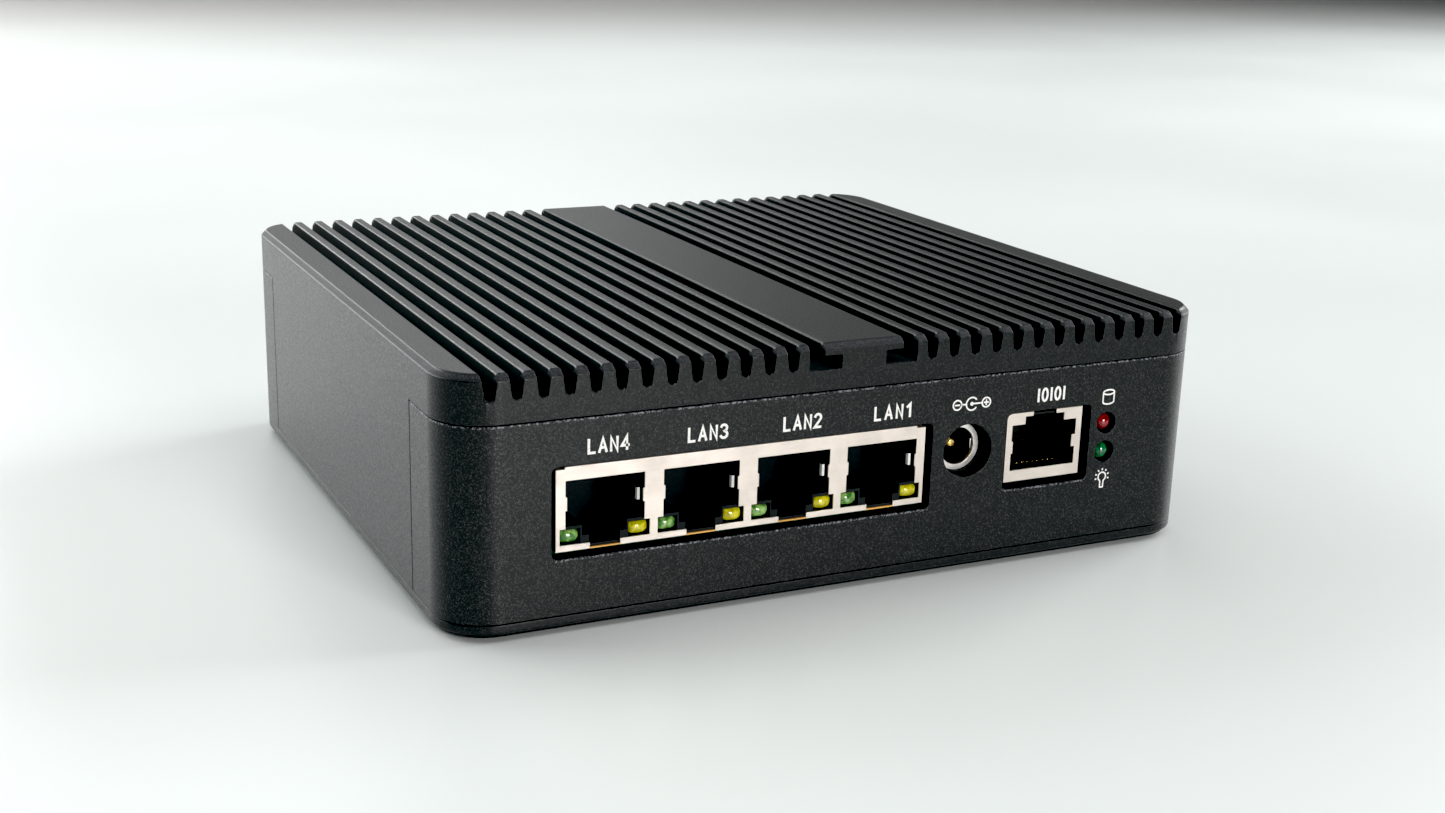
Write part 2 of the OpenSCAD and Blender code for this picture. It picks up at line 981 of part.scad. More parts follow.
module lan_shield() {
    lens_top = 16.2;
    strip_top = 13.7;
    rim_high = 0.35;
    color("#d9d6cf") {
        difference() {
            shield_box(lan_lo_x, lan_hi_x, shield_low, lan_top, lan_tail_y);
            at_lan_ports()
                along_y(face_y - 1, face_y + 1) {
                    translate([-port_half_w, strip_top])
                        square([2 * port_half_w, port_top - strip_top]);
                    translate([-lens_edge, strip_top])
                        square([2 * lens_edge, lens_top - strip_top]);
                    translate([-step_half_w, shield_low - 1])
                        square([2 * step_half_w, strip_top - shield_low + 2]);
                }
        }
        block(
            [lan_lo_x + 1.4, face_y, lan_top],
            [lan_hi_x - 1.6, face_y + 2, lan_top + rim_high]
        );
        at_lan_ports()
            for (side = [-1, 1])
                finger(side * port_half_w, -side, 0.25);
    }
}

// The stepped mouth of a network socket, with the latch key at the bottom
module lan_mouth() {
    translate([-port_half_w, frame_top])
        square([2 * port_half_w, port_top - frame_top]);
    translate([-frame_half_w, step_top - eps])
        square([2 * frame_half_w, frame_top - step_top + 2 * eps]);
    translate([-step_half_w, key_floor])
        square([2 * step_half_w, step_top - key_floor + eps]);
}

module lens_bar(side, y0, y1) {
    mid_x = side * (lens_edge - lens_w / 2);
    block([mid_x - lens_w / 2, y0, lens_low], [mid_x + lens_w / 2, y1, lens_low + lens_h]);
}

lens_tail_y = face_y + 5;

module lan_housing() {
    gap = sheet_t + eps;
    color("#2c2d30")
        difference() {
            block(
                [lan_lo_x + gap, face_y + gap, shield_low],
                [lan_hi_x - gap, lan_tail_y - gap, lan_top - gap]
            );
            at_lan_ports() {
                along_y(face_y - 1, face_y + port_depth)
                    lan_mouth();
                for (side = [-1, 1])
                    lens_bar(side, face_y - 1, lens_tail_y);
            }
        }
}

// Eight sprung wires side by side, each from a front end at the given height, tilted by the angle
module contact_row(z, tilt) {
    for (k = [0 : contact_count - 1])
        translate([(k - (contact_count - 1) / 2) * contact_pitch - contact_w / 2, face_y + 1.9, z])
            rotate([tilt, 0, 0])
                cube([contact_w, contact_len, contact_t]);
}

module lan_contacts() {
    color("#d8b24a")
        at_lan_ports()
            contact_row(port_top - 0.5, -contact_tilt);
}

// A lens with a bevelled front edge
module lens(side) {
    edge = 0.4;
    mid_x = side * (lens_edge - lens_w / 2);
    front = face_y + lens_recess;
    lens_bar(side, front + edge, lens_tail_y);
    along_x(mid_x - lens_w / 2 + edge, mid_x + lens_w / 2 - edge)
        polygon([
            [front, lens_low + edge],
            [front + edge, lens_low],
            [front + edge, lens_low + lens_h],
            [front, lens_low + lens_h - edge]
        ]);
}

module lan_link_lenses() {
    color("#3f8f3f")
        at_lan_ports()
            lens(-1);
}

module lan_speed_lenses() {
    color("#d9b72c")
        at_lan_ports()
            lens(1);
}

console_mouth_half_w = 6.3;
console_mouth_low = 16.1;
console_mouth_top = 23.8;
console_key_half_w = 3.8;
console_key_top = 25.1;

module console_mouth() {
    translate([console_x - console_mouth_half_w, console_mouth_low])
        square([2 * console_mouth_half_w, console_mouth_top - console_mouth_low]);
    translate([console_x - console_key_half_w, console_mouth_top - eps])
        square([2 * console_key_half_w, console_key_top - console_mouth_top + eps]);
}

module console_shield() {
    lip_gap_lo = console_x - 2.3;
    lip_gap_hi = console_x + 2.2;
    color("#d9d6cf") {
        difference() {
            along_y(face_y, console_tail_y)
                left_rounded(console_lo_x, console_hi_x, console_low, console_top, console_bend_r);
            along_y(face_y + sheet_t, console_tail_y - sheet_t)
                left_rounded(console_lo_x + sheet_t, console_hi_x - sheet_t,
                    console_low - 1, console_top - sheet_t, console_bend_r - sheet_t);
            along_y(face_y - 1, face_y + 1) {
                console_mouth();
                translate([lip_gap_lo, console_key_top - eps])
                    square([lip_gap_hi - lip_gap_lo, 2]);
            }
        }
        finger(console_x - console_mouth_half_w, 1, 0.3);
        finger(console_x + console_mouth_half_w, -1, 0.7);
    }
}

module console_housing() {
    gap = sheet_t + eps;
    color("#1f2023")
        difference() {
            union() {
                along_y(face_y + gap, console_tail_y - gap)
                    left_rounded(console_lo_x + gap, console_hi_x - gap,
                        console_low, console_top - gap, console_bend_r - gap);
                block(
                    [console_lo_x + gap, face_y + 2.5, board_top],
                    [console_hi_x - gap, console_tail_y - gap, console_low]
                );
            }
            along_y(face_y - 1, face_y + port_depth)
                console_mouth();
        }
}

module console_contacts() {
    color("#d8b24a")
        translate([console_x, 0, 0])
            contact_row(console_mouth_low + 0.3, contact_tilt);
}

module jack_body() {
    body_w = 9.2;
    color("#202022")
        difference() {
            union() {
                block(
                    [jack_x - body_w / 2, behind_panel_y, board_top],
                    [jack_x + body_w / 2, front_y + 16.5, jack_z]
                );
                rod_y(jack_x, jack_z, body_w / 2, behind_panel_y, front_y + 16.5);
            }
            rod_y(jack_x, jack_z, jack_outer_r + fit_gap, front_y, jack_floor_y);
        }
}

module jack_sleeve() {
    color("#cfd0d0")
        difference() {
            rod_y(jack_x, jack_z, jack_outer_r, jack_face_y, jack_floor_y);
            rod_y(jack_x, jack_z, jack_inner_r, jack_face_y - 1, jack_floor_y + 1);
        }
}

module jack_pin() {
    pin_r = 1.05;
    tip = 0.5;
    tip_y = jack_face_y + 1.7;
    color("#d8b24a")
        translate([jack_x, tip_y, jack_z])
            rotate([-90, 0, 0]) {
                cylinder(r1 = pin_r - tip, r2 = pin_r, h = tip);
                translate([0, 0, tip])
                    cylinder(r = pin_r, h = jack_floor_y - tip_y - tip);
            }
}

module jack_spring() {
    leaf = [0.25, 9.3, 1.7];
    color("#d8b24a")
        translate([jack_x + 2.65, jack_floor_y - leaf.y, jack_z - leaf.z / 2])
            cube(leaf);
}

module lamp_holder() {
    holder_w = 5;
    color("#202022")
        difference() {
            block(
                [lamp_x - holder_w / 2, behind_panel_y, board_top],
                [lamp_x + holder_w / 2, behind_panel_y + 7, disk_lamp_z + holder_w / 2]
            );
            rod_y(lamp_x, disk_lamp_z, lamp_r + fit_gap, front_y, lamp_tail_y);
            rod_y(lamp_x, power_lamp_z, lamp_r + fit_gap, front_y, lamp_tail_y);
        }
}

module lamp(z) {
    dome_y = front_y + 2;
    rod_y(lamp_x, z, lamp_r, dome_y, lamp_tail_y);
    translate([lamp_x, dome_y, z])
        sphere(r = lamp_r);
}

module disk_lamp() {
    color("#8f1f22")
        lamp(disk_lamp_z);
}

module power_lamp() {
    color("#1f6b3a")
        lamp(power_lamp_z);
}

module power_button() {
    edge = 0.4;
    face = rear_y + button_proud;
    color("#8d9093") {
        rod_y(button_x, button_z, button_r, button_flange_y, face - edge);
        translate([button_x, face - edge, button_z])
            rotate([-90, 0, 0])
                cylinder(r1 = button_r, r2 = button_r - edge, h = edge);
        rod_y(button_x, button_z, button_flange_r, button_flange_y - button_flange_t, button_flange_y);
        rod_y(button_x, button_z, stem_r, stem_end_y, button_flange_y - button_flange_t);
    }
}

module power_switch() {
    body_w = 9;
    color("#202022")
        difference() {
            block(
                [button_x - body_w / 2, switch_front_y - switch_depth, board_top],
                [button_x + body_w / 2, switch_front_y, button_z + body_w / 2]
            );
            rod_y(button_x, button_z, plunger_r + plunger_gap,
                plunger_tail_y - button_travel - 0.5, switch_front_y + 1);
        }
}

module switch_plunger() {
    color("#e0ddd4")
        rod_y(button_x, button_z, plunger_r, plunger_tail_y, stem_end_y);
}

usb_floor_y = rear_face_y - 14;
usb_tail_y = rear_face_y - 17.5;
usb_mouth_h = 5.1;
usb_lows = [board_top + 1, board_top + 9.4];

module usb_shell() {
    mouth_half_w = 6.25;
    color("#d9d6cf")
        difference() {
            block(
                [usb_x - usb_half_w, usb_tail_y, shield_low],
                [usb_x + usb_half_w, rear_face_y, usb_top]
            );
            for (low = usb_lows)
                block(
                    [usb_x - mouth_half_w, usb_floor_y, low],
                    [usb_x + mouth_half_w, rear_face_y + 1, low + usb_mouth_h]
                );
        }
}

module usb_tongues() {
    tongue = [11.1, 12.5, 1.9];
    drop = 0.5;
    color("#23407e")
        for (low = usb_lows)
            translate([usb_x - tongue.x / 2, usb_floor_y, low + usb_mouth_h - drop - tongue.z])
                cube(tongue);
}

// Outline of the video socket: a bar whose two lower corners slope in
module video_outline(inset) {
    w = video_half_w - inset;
    low = shield_low + inset;
    high = video_top - inset;
    slope_w = 1.6;
    slope_top = low + 2;
    polygon([
        [w, high],
        [-w, high],
        [-w, slope_top],
        [slope_w - w, low],
        [w - slope_w, low],
        [w, slope_top]
    ]);
}

video_floor_y = rear_face_y - 9;

module video_shell() {
    color("#d9d6cf")
        translate([video_x, 0, 0])
            difference() {
                along_y(rear_face_y - 11.5, rear_face_y)
                    video_outline(0);
                along_y(video_floor_y, rear_face_y + 1)
                    video_outline(sheet_t + 0.1);
            }
}

module video_tongue() {
    tongue = [11.9, 7, 1.3];
    color("#1b1b1d")
        translate([video_x - tongue.x / 2, video_floor_y, board_top + 2.6])
            cube(tongue);
}

heatsink_cover();
front_panel();
rear_panel();
bottom_plate();
rubber_feet();
case_screws();
aerial_hole_plugs();
mainboard();
board_standoffs();
board_screws();
processor_substrate();
processor_die();
thermal_pads();
heat_spreader();
spreader_screws();
memory_socket();
memory_module();
memory_chips();
memory_latch_left();
memory_latch_right();
drive_socket();
drive_board();
drive_chips();
drive_standoffs();
drive_screws();
expansion_socket();
network_chips();
network_transformers();
firmware_chip();
io_chip();
power_inductors();
power_capacitors();
power_transistors();
battery_holder();
coin_cell();
drive_data_port();
drive_power_header();
service_header();
lan_shield();
lan_housing();
lan_contacts();
lan_link_lenses();
lan_speed_lenses();
console_shield();
console_housing();
console_contacts();
jack_body();
jack_sleeve();
jack_pin();
jack_spring();
lamp_holder();
disk_lamp();
power_lamp();
power_button();
power_switch();
switch_plunger();
usb_shell();
usb_tongues();
video_shell();
video_tongue();
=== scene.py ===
import json
import math

import bmesh
import bpy
from mathutils import Matrix, Vector


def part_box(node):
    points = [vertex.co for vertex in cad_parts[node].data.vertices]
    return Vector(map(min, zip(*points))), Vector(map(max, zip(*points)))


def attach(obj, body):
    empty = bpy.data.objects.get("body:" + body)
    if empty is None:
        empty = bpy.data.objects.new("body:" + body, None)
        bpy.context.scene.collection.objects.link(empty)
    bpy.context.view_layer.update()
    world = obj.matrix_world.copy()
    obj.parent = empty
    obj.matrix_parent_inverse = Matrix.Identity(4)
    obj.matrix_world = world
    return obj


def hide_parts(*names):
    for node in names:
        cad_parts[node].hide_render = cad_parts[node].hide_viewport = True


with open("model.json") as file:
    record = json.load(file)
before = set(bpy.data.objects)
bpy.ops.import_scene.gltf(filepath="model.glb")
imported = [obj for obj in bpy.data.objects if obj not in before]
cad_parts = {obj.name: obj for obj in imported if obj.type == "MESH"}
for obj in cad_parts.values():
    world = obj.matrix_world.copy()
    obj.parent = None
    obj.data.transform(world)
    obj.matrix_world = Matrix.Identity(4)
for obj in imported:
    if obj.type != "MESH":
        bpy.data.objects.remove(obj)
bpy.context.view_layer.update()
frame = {"nodes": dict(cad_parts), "record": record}

MM = 0.001
nodes = frame["nodes"]
case_low, case_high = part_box("heatsink_cover")
CASE_TOP = case_high.z / MM
FRONT = case_low.y / MM
REAR = case_high.y / MM

# ---------------------------------------------------------------- shader tools


class Shader:
    """A node material with a Principled shader, and short ways to add nodes to it."""

    def __init__(self, name, **sockets):
        self.material = bpy.data.materials.new(name)
        self.material.use_nodes = True
        self.tree = self.material.node_tree
        self.principled = self.tree.nodes["Principled BSDF"]
        for key, value in sockets.items():
            self.principled.inputs[key.replace("_", " ")].default_value = value

    def feed(self, socket, value):
        """Links a socket to another node's output, or sets its constant value."""
        if isinstance(value, bpy.types.NodeSocket):
            self.tree.links.new(value, socket)
        else:
            socket.default_value = value

    def node(self, kind, settings=None, **inputs):
        """A new node. An input is given by its name, with _ for a space, or by its number, as in i0."""
        new = self.tree.nodes.new(kind)
        for key, value in (settings or {}).items():
            setattr(new, key, value)
        for key, value in inputs.items():
            socket = new.inputs[int(key[1:])] if key[1:].isdigit() else new.inputs[key.replace("_", " ")]
            self.feed(socket, value)
        return new

    def place(self):
        """Object coordinates in millimetres."""
        coordinates = self.node("ShaderNodeTexCoord").outputs["Object"]
        return self.node("ShaderNodeMapping", Vector=coordinates, Scale=(1 / MM,) * 3).outputs[0]

    def axis(self, letter):
        """One of the object coordinates X, Y and Z, in millimetres."""
        return self.node("ShaderNodeSeparateXYZ", Vector=self.place()).outputs[letter]

    def noise(self, size_mm, detail=2.0, roughness=0.5, stretch=(1, 1, 1)):
        """Noise from 0 to 1 whose blobs are about size_mm across."""
        place = self.place()
        scaled = self.node("ShaderNodeMapping", Vector=place, Scale=stretch).outputs[0]
        made = self.node("ShaderNodeTexNoise", Vector=scaled, Scale=1 / size_mm, Detail=detail,
                         Roughness=roughness)
        return made.outputs["Fac"]

    def band(self, value, low, high, to_low=0.0, to_high=1.0):
        """Maps low..high of a value to to_low..to_high, clamped and smooth."""
        made = self.node("ShaderNodeMapRange", {"interpolation_type": "SMOOTHSTEP"}, Value=value,
                         From_Min=low, From_Max=high, To_Min=to_low, To_Max=to_high)
        return made.outputs[0]

    def mix(self, factor, one, two):
        made = self.node("ShaderNodeMix", {"data_type": "RGBA"}, i0=factor, i6=one, i7=two)
        return made.outputs[2]

    def math(self, operation, one, two=0.0):
        return self.node("ShaderNodeMath", {"operation": operation}, i0=one, i1=two).outputs[0]

    def bump(self, height, distance_mm, strength=1.0, normal=None):
        inputs = {"Height": height, "Distance": distance_mm * MM, "Strength": strength}
        if normal is not None:
            inputs["Normal"] = normal
        return self.node("ShaderNodeBump", **inputs).outputs[0]

    def finish(self, **links):
        """Links the Principled shader's inputs and gives the finished material."""
        for key, value in links.items():
            self.feed(self.principled.inputs[key.replace("_", " ")], value)
        return self.material


def grey(value):
    return (value, value, value, 1)


# ---------------------------------------------------------------- materials

# Colour of the painted highlight in patches along the cover's top rim
RIM_HIGHLIGHT = (0.055, 0.055, 0.062, 1)
# Colour of the painted glints in dots along the panel's sharp edges
EDGE_GLINT = (0.22, 0.22, 0.24, 1)


def powder_coat(name, dark, pale, edges=()):
    """Fine-textured powder coat: a dark pebbled skin, with pale flecks where the pebbles catch light.

    Painted glints show in dots along sharp upward edges, each given as height, X range and last Y in mm. A
    painted highlight lies along the top rim and painted shade in the slots."""
    gloss, spread = 0.38, 0.06
    drop = 0.15              # how far below an edge its painted glint dots are, in mm
    s = Shader(name, IOR=1.5, Specular_IOR_Level=0.32, Sheen_Weight=0.06, Sheen_Roughness=0.3)
    grain = s.noise(0.3, detail=2.0, roughness=0.6)
    fine = s.noise(0.13, detail=1.0)
    clouds = s.noise(9.0, detail=3.0)
    flecks = s.band(s.math("ADD", grain, fine), 1.04, 1.24)
    shade = s.mix(s.band(clouds, 0.35, 0.7), grey(dark * 0.85), grey(dark * 1.15))
    colour = s.mix(flecks, shade, grey(pale))
    rim, painted_shade_and_matte = cover_zones(s)
    # A painted highlight in patches along the top rim
    rim_highlight = s.math("MULTIPLY", rim, s.band(fine, 0.4, 0.62))
    colour = s.mix(rim_highlight, colour, RIM_HIGHLIGHT)
    for height, left, right, back in edges:
        middle, half = (left + right) / 2, (right - left) / 2
        off_edge = s.math("ABSOLUTE", s.math("SUBTRACT", s.axis("Z"), height - drop))
        off_middle = s.math("ABSOLUTE", s.math("SUBTRACT", s.axis("X"), middle))
        below = s.band(off_edge, 0.1, 0.2, 1.0, 0.0)
        beside = s.band(off_middle, half - 0.5, half, 1.0, 0.0)
        before = s.band(s.axis("Y"), back - 0.5, back, 1.0, 0.0)
        near = s.math("MULTIPLY", s.math("MULTIPLY", below, beside), before)
        # Painted glints in dots along each edge
        painted_glints = s.math("MULTIPLY", near, s.band(grain, 0.48, 0.62))
        colour = s.mix(painted_glints, colour, EDGE_GLINT)
    # Painted shade inside the slots and on the rounded lips of the fins
    colour = s.mix(painted_shade_and_matte, colour, grey(dark * 0.4))
    rough = s.band(grain, 0.3, 0.7, gloss + spread, gloss - spread)
    rough = s.math("MAXIMUM", rough, s.math("MULTIPLY", rim, 0.62))
    rough = s.math("MAXIMUM", rough, painted_shade_and_matte)
    normal = s.bump(fine, 0.008, 0.8, s.bump(grain, 0.022, 1.0))
    return s.finish(Base_Color=colour, Roughness=rough, Normal=normal)


def cover_zones(s):
    """Two masks for the cover: the rim round its top, where a painted highlight lies, and the inside of its
    slots with the rounded lips of its fins, where painted shade lies and the coat is made matte.

    reach is the distance, seen from above, from a box that is smaller than the case by corner all round."""
    corner, any_height = 8.0, 1000.0
    top = CASE_TOP
    inner = [(case_high[k] - case_low[k]) / 2 / MM - corner for k in (0, 1)] + [any_height]
    place = s.node("ShaderNodeVectorMath", {"operation": "ABSOLUTE"}, i0=s.place()).outputs[0]
    past = s.node("ShaderNodeVectorMath", {"operation": "SUBTRACT"}, i0=place, i1=inner).outputs[0]
    past = s.node("ShaderNodeVectorMath", {"operation": "MAXIMUM"}, i0=past, i1=(0, 0, 0)).outputs[0]
    reach = s.node("ShaderNodeVectorMath", {"operation": "LENGTH"}, i0=past).outputs["Value"]
    height = s.axis("Z")
    rim = s.math("MULTIPLY", s.band(reach, corner - 1.15, corner - 0.75),
                 s.band(height, top - 1.15, top - 0.75))
    # Painted shade deep in the slots and on the rounded lips of the fins and strips, where the coat is also
    # made matte
    walls = s.math("MULTIPLY", s.band(reach, corner - 0.45, corner - 0.15, 1.0, 0.0),
                   s.band(height, top - 1.1, top - 0.4, 1.0, 0.0))
    lips = s.math("MULTIPLY", s.band(reach, corner - 1.6, corner - 1.25, 1.0, 0.0),
                  s.band(height, top - 0.35, top - 0.045, 1.0, 0.0))
    painted_shade_and_matte = s.math("MAXIMUM", walls, lips)
    return rim, painted_shade_and_matte


def sheet_metal(name, colour, rough=0.3, lines_mm=0.25, lined_from=None):
    """Plated sheet with rolled lines along X and a few dull clouds.

    Behind Y = lined_from, in mm, it is black."""
    s = Shader(name, Metallic=1.0)
    lines = s.noise(lines_mm, detail=3.0, roughness=0.6, stretch=(0.08, 1, 1))
    clouds = s.noise(5.0, detail=3.0)
    dull = tuple(c * 0.86 for c in colour[:3]) + (1,)
    tint = s.mix(s.band(clouds, 0.3, 0.75), colour, dull)
    wear = s.math("ADD", lines, s.math("MULTIPLY", clouds, 0.4))
    roughness = s.band(wear, 0.4, 1.0, rough - 0.06, rough + 0.1)
    if lined_from is not None:
        lining = s.band(s.axis("Y"), lined_from, lined_from + 0.4)
        tint = s.mix(lining, tint, grey(0.006))
    return s.finish(Base_Color=tint, Roughness=roughness, Normal=s.bump(lines, 0.006, 0.5))


def moulded(name, colour, rough=0.5, grain_mm=0.4, bump_mm=0.012, **sockets):
    """Moulded plastic: a spark-eroded fine grain and a slight drift of tone."""
    s = Shader(name, **sockets)
    grain = s.noise(grain_mm, detail=2.0)
    clouds = s.noise(6.0, detail=2.0)
    deep = tuple(c * 0.8 for c in colour[:3]) + (1,)
    tint = s.mix(s.band(clouds, 0.35, 0.7), colour, deep)
    roughness = s.band(grain, 0.3, 0.7, rough + 0.06, rough - 0.06)
    return s.finish(Base_Color=tint, Roughness=roughness, Normal=s.bump(grain, bump_mm, 0.7))


def lens_plastic(name, deep, bright):
    """Tinted clear plastic: light scatters in it, and brighter patches lie under a glossy skin."""
    s = Shader(name, IOR=1.52, Roughness=0.12, Coat_Weight=0.6, Coat_Roughness=0.05,
               Subsurface_Weight=0.35, Subsurface_Scale=0.6 * MM)
    streaks = s.noise(0.9, detail=2.0)
    tint = s.mix(s.band(streaks, 0.35, 0.65), deep, bright)
    skin = s.noise(1.4, detail=1.0)
    return s.finish(Base_Color=tint, Normal=s.bump(skin, 0.02, 0.5))


def board_mask(name, mask, copper):
    """Solder mask over copper: the tracks show as slightly paler lines under a glossy green skin."""
    s = Shader(name, Coat_Weight=0.4, Coat_Roughness=0.15)
    place = s.place()
    tracks = s.node("ShaderNodeTexBrick", {"offset": 0.37, "squash": 0.7}, Vector=place, Scale=0.16,
                    Mortar_Size=0.035, Color1=grey(0), Color2=grey(0), Mortar=grey(1)).outputs["Fac"]
    weave = s.noise(0.5, detail=1.0, stretch=(1, 0.3, 1))
    colour = s.mix(tracks, mask, copper)
    roughness = s.band(weave, 0.3, 0.7, 0.38, 0.3)
    return s.finish(Base_Color=colour, Roughness=roughness, Normal=s.bump(tracks, 0.02, 0.8))


def silkscreen(name):
    """White printed ink, a little uneven in tone and height."""
    s = Shader(name, Roughness=0.6)
    spots = s.noise(0.16, detail=2.0)
    tint = s.mix(s.band(spots, 0.3, 0.6), (0.62, 0.62, 0.6, 1), (0.86, 0.86, 0.84, 1))
    return s.finish(Base_Color=tint, Normal=s.bump(spots, 0.01, 0.6))


# Lower edges of the openings in the front panel, in mm
LAN_CUT_LOW, CONSOLE_CUT_LOW = 11.6, 12.9
shield_low, shield_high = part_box("lan_shield")
console_low, console_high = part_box("console_shield")
PANEL_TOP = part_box("front_panel")[1].z / MM
BESIDE_CASE = case_high.x / MM + 1
# The seam under the cover all round, and the lower edges of the openings at the front, along which painted
# glints lie
PANEL_EDGES = [
    (PANEL_TOP, -BESIDE_CASE, BESIDE_CASE, REAR + 1),
    (LAN_CUT_LOW, shield_low.x / MM - 0.6, shield_high.x / MM + 1.3, FRONT + 1),
    (CONSOLE_CUT_LOW, console_low.x / MM - 0.2, console_high.x / MM + 1.7, FRONT + 1),
]

MATERIALS = {
    "cover_coat": powder_coat("cover_coat", 0.005, 0.04),
    "panel_coat": powder_coat("panel_coat", 0.005, 0.055, edges=PANEL_EDGES),
    "plate_coat": powder_coat("plate_coat", 0.005, 0.04),
    "rubber": moulded("rubber", grey(0.018), rough=0.75, grain_mm=0.6, bump_mm=0.03),
    "black_steel": sheet_metal("black_steel", grey(0.05), rough=0.4),
    "board_laminate": board_mask("board_laminate", (0.002, 0.007, 0.004, 1), (0.006, 0.026, 0.014, 1)),
    "brass": sheet_metal("brass", (0.78, 0.55, 0.24, 1), rough=0.3),
    "zinc_steel": sheet_metal("zinc_steel", (0.64, 0.64, 0.66, 1), rough=0.32),
    "silicon": sheet_metal("silicon", (0.2, 0.21, 0.25, 1), rough=0.15),
    "thermal_silicone": moulded("thermal_silicone", (0.3, 0.33, 0.36, 1), rough=0.7, grain_mm=0.3,
                                bump_mm=0.05),
    "bare_aluminium": sheet_metal("bare_aluminium", (0.74, 0.74, 0.75, 1), rough=0.36, lines_mm=0.4),
    "ivory_plastic": moulded("ivory_plastic", (0.62, 0.58, 0.45, 1), rough=0.5),
    "black_plastic": moulded("black_plastic", grey(0.006), rough=0.6, Specular_IOR_Level=0.3),
    "chip_epoxy": moulded("chip_epoxy", grey(0.016), rough=0.6, grain_mm=0.2, bump_mm=0.02),
    "ferrite": moulded("ferrite", grey(0.06), rough=0.7, grain_mm=0.3, bump_mm=0.05),
    "nickel_shield": sheet_metal("nickel_shield", (0.69, 0.635, 0.58, 1), rough=0.5),
    "grey_plastic": moulded("grey_plastic", (0.009, 0.01, 0.011, 1), rough=0.6, Specular_IOR_Level=0.25),
    "gold_contact": sheet_metal("gold_contact", (0.9, 0.62, 0.22, 1), rough=0.22),
    "green_lens": lens_plastic("green_lens", (0.05, 0.16, 0.035, 1), (0.26, 0.46, 0.13, 1)),
    "yellow_lens": lens_plastic("yellow_lens", (0.36, 0.34, 0.008, 1), (0.66, 0.62, 0.04, 1)),
    "red_lamp": lens_plastic("red_lamp", (0.14, 0.002, 0.004, 1), (0.3, 0.01, 0.015, 1)),
    "green_lamp": lens_plastic("green_lamp", (0.003, 0.06, 0.02, 1), (0.01, 0.2, 0.07, 1)),
    "button_metal": sheet_metal("button_metal", (0.5, 0.5, 0.52, 1), rough=0.35),
    "blue_plastic": moulded("blue_plastic", (0.02, 0.06, 0.3, 1), rough=0.45),
    "lined_sleeve": sheet_metal("lined_sleeve", (0.9, 0.88, 0.85, 1), rough=0.4, lines_mm=1.5,
                                lined_from=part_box("jack_sleeve")[0].y / MM + 0.5),
    "white_ink": silkscreen("white_ink"),
    "amber_tape": moulded("amber_tape", (0.75, 0.4, 0.1, 1), rough=0.35),
    "bright_spring": sheet_metal("bright_spring", (0.7, 0.7, 0.67, 1), rough=0.36),
}

# ---------------------------------------------------------------- the CAD nodes


def add_modifier(thing, kind, **settings):
    """Adds a modifier of a kind and sets its values."""
    made = thing.modifiers.new(kind.lower(), kind)
    for key, value in settings.items():
        setattr(made, key, value)
    return made


SHARP = math.radians(35)
FLAT = math.radians(0.5)


def soften_edges(thing, edge_mm):
    """Joins the split vertices and flat triangles, rounds the sharp edges and shades flat faces flat."""
    for polygon in thing.data.polygons:
        polygon.use_smooth = True
    add_modifier(thing, "WELD", merge_threshold=0.001 * MM)
    add_modifier(thing, "DECIMATE", decimate_type="DISSOLVE", angle_limit=FLAT)
    add_modifier(thing, "BEVEL", width=edge_mm * MM, segments=2, limit_method="ANGLE",
                 angle_limit=SHARP, use_clamp_overlap=False)
    add_modifier(thing, "WEIGHTED_NORMAL", mode="FACE_AREA", weight=100, keep_sharp=True)


def dress(thing, material):
    """Gives a CAD node one material in place of its plain one."""
    thing.data.materials.clear()
    thing.data.materials.append(MATERIALS[material])


# The rounding of the case's edges and of all other edges, in mm
CASE_EDGE, SMALL_EDGE = 0.15, 0.06
CASE = ("heatsink_cover", "front_panel", "rear_panel", "bottom_plate")
# Nodes with a finish of their own instead of their slot's
FINISH = {"jack_sleeve": "lined_sleeve", "jack_spring": "bright_spring"}
for part in frame["record"]["subparts"]:
    node = part["node"]
    dress(nodes[node], FINISH.get(node, part["material_slot"]))
    soften_edges(nodes[node], CASE_EDGE if node in CASE else SMALL_EDGE)

# ---------------------------------------------------------------- new pieces

link_low, link_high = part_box("lan_link_lenses")
speed_low, speed_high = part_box("lan_speed_lenses")
PORTS = 4
PORT_PITCH = (shield_high.x - shield_low.x) / PORTS
PORT_X = [shield_low.x + (k + 0.5) * PORT_PITCH for k in range(PORTS)]
SHIELD_FACE = shield_low.y


def add_piece(name, mesh, slot, material=None, replaced=None, smooth=True):
    """A finished bmesh becomes an object that rides on the fixed case, and may stand for a CAD node."""
    bmesh.ops.recalc_face_normals(mesh, faces=mesh.faces)
    data = bpy.data.meshes.new(name)
    mesh.to_mesh(data)
    mesh.free()
    for polygon in data.polygons:
        polygon.use_smooth = smooth
    thing = bpy.data.objects.new(name, data)
    bpy.context.scene.collection.objects.link(thing)
    data.materials.append(MATERIALS[material or slot])
    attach(thing, "root")
    if replaced:
        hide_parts(replaced)
    return thing


def bridge(mesh, rings, close_start=True, close_end=True):
    """Skins a list of rings of points, each of the same length, and closes the two ends."""
    rows = [[mesh.verts.new(p) for p in ring] for ring in rings]
    count = len(rows[0])
    for one, two in zip(rows, rows[1:]):
        for k in range(count):
            n = (k + 1) % count
            mesh.faces.new((one[k], one[n], two[n], two[k]))
    if close_start:
        mesh.faces.new(rows[0][::-1])
    if close_end:
        mesh.faces.new(rows[-1])


def superellipse(half_x, half_z, power):
    """A rounded rectangle about the origin: power 2 is an ellipse, and higher is squarer."""
    count = 48
    points = []
    for k in range(count):
        turn = 2 * math.pi * k / count
        c, s = math.cos(turn), math.sin(turn)
        points.append((half_x * math.copysign(abs(c) ** (2 / power), c),
                       half_z * math.copysign(abs(s) ** (2 / power), s)))
    return points


